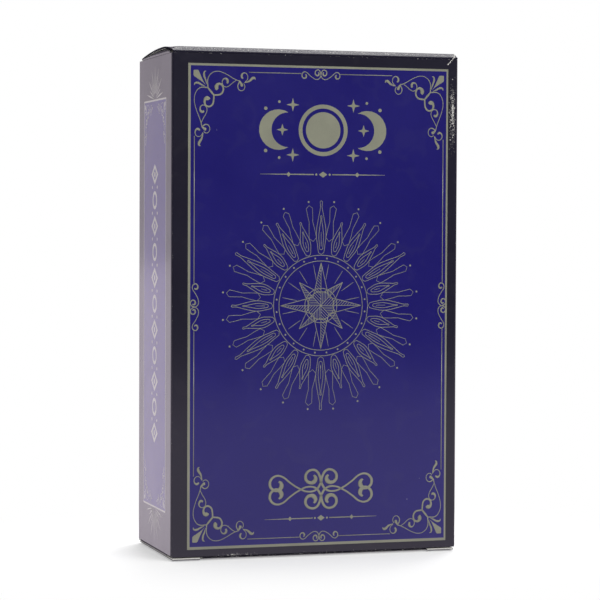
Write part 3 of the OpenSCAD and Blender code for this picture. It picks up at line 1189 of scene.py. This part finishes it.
def bulged_flap(name, body, node, hand):
    """Hand is -1 for the left flap and 1 for the right one."""
    flap, corners = surface(name, 40, 36)
    for vertex, across, along in corners:
        u = DUST_LEN * (across if hand < 0 else 1 - across) ** 1.6
        low, high = flap_edges(u)
        v = low + (high - low) * along
        x = hand * (half_w - BOARD / 2 - u)
        vertex.co = (x * MM, (v + lid_fold[1]) * MM, (dust_fold[2] + bulge(x, u, v)) * MM)
    make_board(flap, dust_print, 1)
    bpy.ops.object.select_all(action="DESELECT")
    middle = (hand * (half_w - BOARD / 2) * MM, (sum(DUST_ROOT) / 2 + lid_fold[1]) * MM, dust_fold[2] * MM)
    bpy.ops.mesh.primitive_cylinder_add(
        vertices=24, radius=0.215 * MM, depth=(DUST_ROOT[1] - DUST_ROOT[0]) * MM,
        location=middle, rotation=(math.pi / 2, 0.0, 0.0))
    bead = bpy.context.object
    bpy.ops.object.transform_apply()
    bpy.ops.object.shade_smooth_by_angle(angle=math.radians(40))
    bead.data.materials.append(dust_print)
    joined(name, [flap, bead])
    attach(flap, body)
    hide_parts(node)


bowed_lid("bowed_lid")
bulged_flap("upper_dust_flap_left", "lid_dust_left", "lid_dust_flap_left", -1)
bulged_flap("upper_dust_flap_right", "lid_dust_right", "lid_dust_flap_right", 1)


# Stage, light and camera
FLOOR_REACH = 4.0
# The floor lies a hair below the base, which leaves a thin dark line under its edge
FLOOR_GAP = 0.3
# Faint violet of the room as the gloss shows it
GLEAM = (0.98, 0.88, 1.0, 1.0)
FLOOR_ALBEDO = (0.8, 0.8, 0.8, 1.0)
FLOOR_LIFT = 0.34
FLOOR_FRONT = 0.65
FLOOR_BEHIND = 0.9


def make_floor():
    bpy.ops.object.select_all(action="DESELECT")
    bpy.ops.mesh.primitive_plane_add(size=2 * FLOOR_REACH, location=(0.0, 0.0, -FLOOR_GAP * MM))
    floor = bpy.context.object
    floor.name = "floor"
    material = bpy.data.materials.new("pale_floor")
    material.use_nodes = True
    tree = material.node_tree
    tree.nodes.clear()
    x, y = split(tree, put(tree, "ShaderNodeTexCoord", out="Object"))[:2]
    path = tree.nodes.new("ShaderNodeLightPath")
    seen = calc(tree, "MAXIMUM", path.outputs["Is Camera Ray"], path.outputs["Is Transmission Ray"])
    matt = put(tree, "ShaderNodeBsdfDiffuse", {"Color": FLOOR_ALBEDO})
    glow = {"Color": (1, 1, 1, 1), "Strength": times(tree, seen, FLOOR_LIFT)}
    lift = put(tree, "ShaderNodeEmission", glow)
    lit = put(tree, "ShaderNodeAddShader", {0: matt, 1: lift})
    white = put(tree, "ShaderNodeEmission", {"Color": (1, 1, 1, 1), "Strength": 1.0})
    away = past_edges(tree, x, y, half_w * MM, half_d * MM)[2]
    far = times(tree, seen, fade(tree, away, 0.002, 0.06))
    shown = put(tree, "ShaderNodeMixShader", {0: far, 1: lit, 2: white})
    mirrored = put(tree, "ShaderNodeMix", {0: fade(tree, y, -0.1, 0.1), 2: FLOOR_FRONT, 3: FLOOR_BEHIND})
    mirrored = times(tree, mirrored, fade(tree, y, -0.95, -0.3))
    gleam = put(tree, "ShaderNodeEmission", {"Color": GLEAM, "Strength": mirrored})
    shown = put(tree, "ShaderNodeMixShader", {0: path.outputs["Is Glossy Ray"], 1: shown, 2: gleam})
    output = tree.nodes.new("ShaderNodeOutputMaterial")
    tree.links.new(shown, output.inputs[0])
    floor.data.materials.append(material)


make_floor()

AMBIENT = 0.62
BACK_WALL = 0.58
CAMERA_SIDE = 0.045


def make_world():
    """White where the camera looks; in gloss, a pale room behind the carton and a dim one in front."""
    world = bpy.data.worlds.new("studio")
    bpy.context.scene.world = world
    world.use_nodes = True
    tree = world.node_tree
    tree.nodes.clear()
    path = tree.nodes.new("ShaderNodeLightPath")
    y = split(tree, put(tree, "ShaderNodeTexCoord", out="Generated"))[1]
    room = put(tree, "ShaderNodeMix", {0: fade(tree, y, -0.6, 0.3), 2: CAMERA_SIDE, 3: BACK_WALL})
    level = put(tree, "ShaderNodeMix", {0: path.outputs["Is Glossy Ray"], 2: AMBIENT, 3: room})
    seen = calc(tree, "MAXIMUM", path.outputs["Is Camera Ray"], path.outputs["Is Transmission Ray"])
    level = put(tree, "ShaderNodeMix", {0: seen, 2: level, 3: 1.0})
    colour = tint(tree, path.outputs["Is Glossy Ray"], (1, 1, 1, 1), GLEAM)
    back = put(tree, "ShaderNodeBackground", {"Color": colour, "Strength": level})
    output = tree.nodes.new("ShaderNodeOutputWorld")
    tree.links.new(back, output.inputs[0])


make_world()

LAMP_AIM = (0.0, 0.0, 0.06)


def soft_lamp(name, place, size, power):
    """A square lamp that faces the middle of the carton."""
    bpy.ops.object.light_add(type="AREA", location=place)
    lamp = bpy.context.object
    lamp.name = name
    lamp.data.size = size
    lamp.data.energy = power
    lamp.rotation_euler = (lamp.location - Vector(LAMP_AIM)).to_track_quat("Z", "Y").to_euler()


soft_lamp("key_lamp", (0.35, 0.7, 1.15), 0.7, 11.0)
soft_lamp("fill_lamp", (0.5, -1.1, 0.95), 0.9, 8.0)

# Camera fitted to the photograph's carton: angles in degrees, place in metres
CAMERA_AZIMUTH, CAMERA_ELEVATION, CAMERA_ROLL = -17.087, 1.904, 0.246
CAMERA_PLACE = (-0.17222, -0.56358, 0.08281)
CAMERA_LENS = 138.0


def make_camera():
    bpy.ops.object.camera_add()
    camera = bpy.context.object
    camera.data.lens = CAMERA_LENS
    camera.data.sensor_width = 36.0
    camera.data.clip_start = 0.01
    turn = Matrix.Rotation(math.radians(CAMERA_AZIMUTH), 4, "Z")
    tilt = Matrix.Rotation(math.radians(90 - CAMERA_ELEVATION), 4, "X")
    roll = Matrix.Rotation(math.radians(CAMERA_ROLL), 4, "Z")
    camera.matrix_world = Matrix.Translation(CAMERA_PLACE) @ turn @ tilt @ roll
    bpy.context.scene.camera = camera


make_camera()
bpy.context.scene.view_settings.view_transform = "Standard"
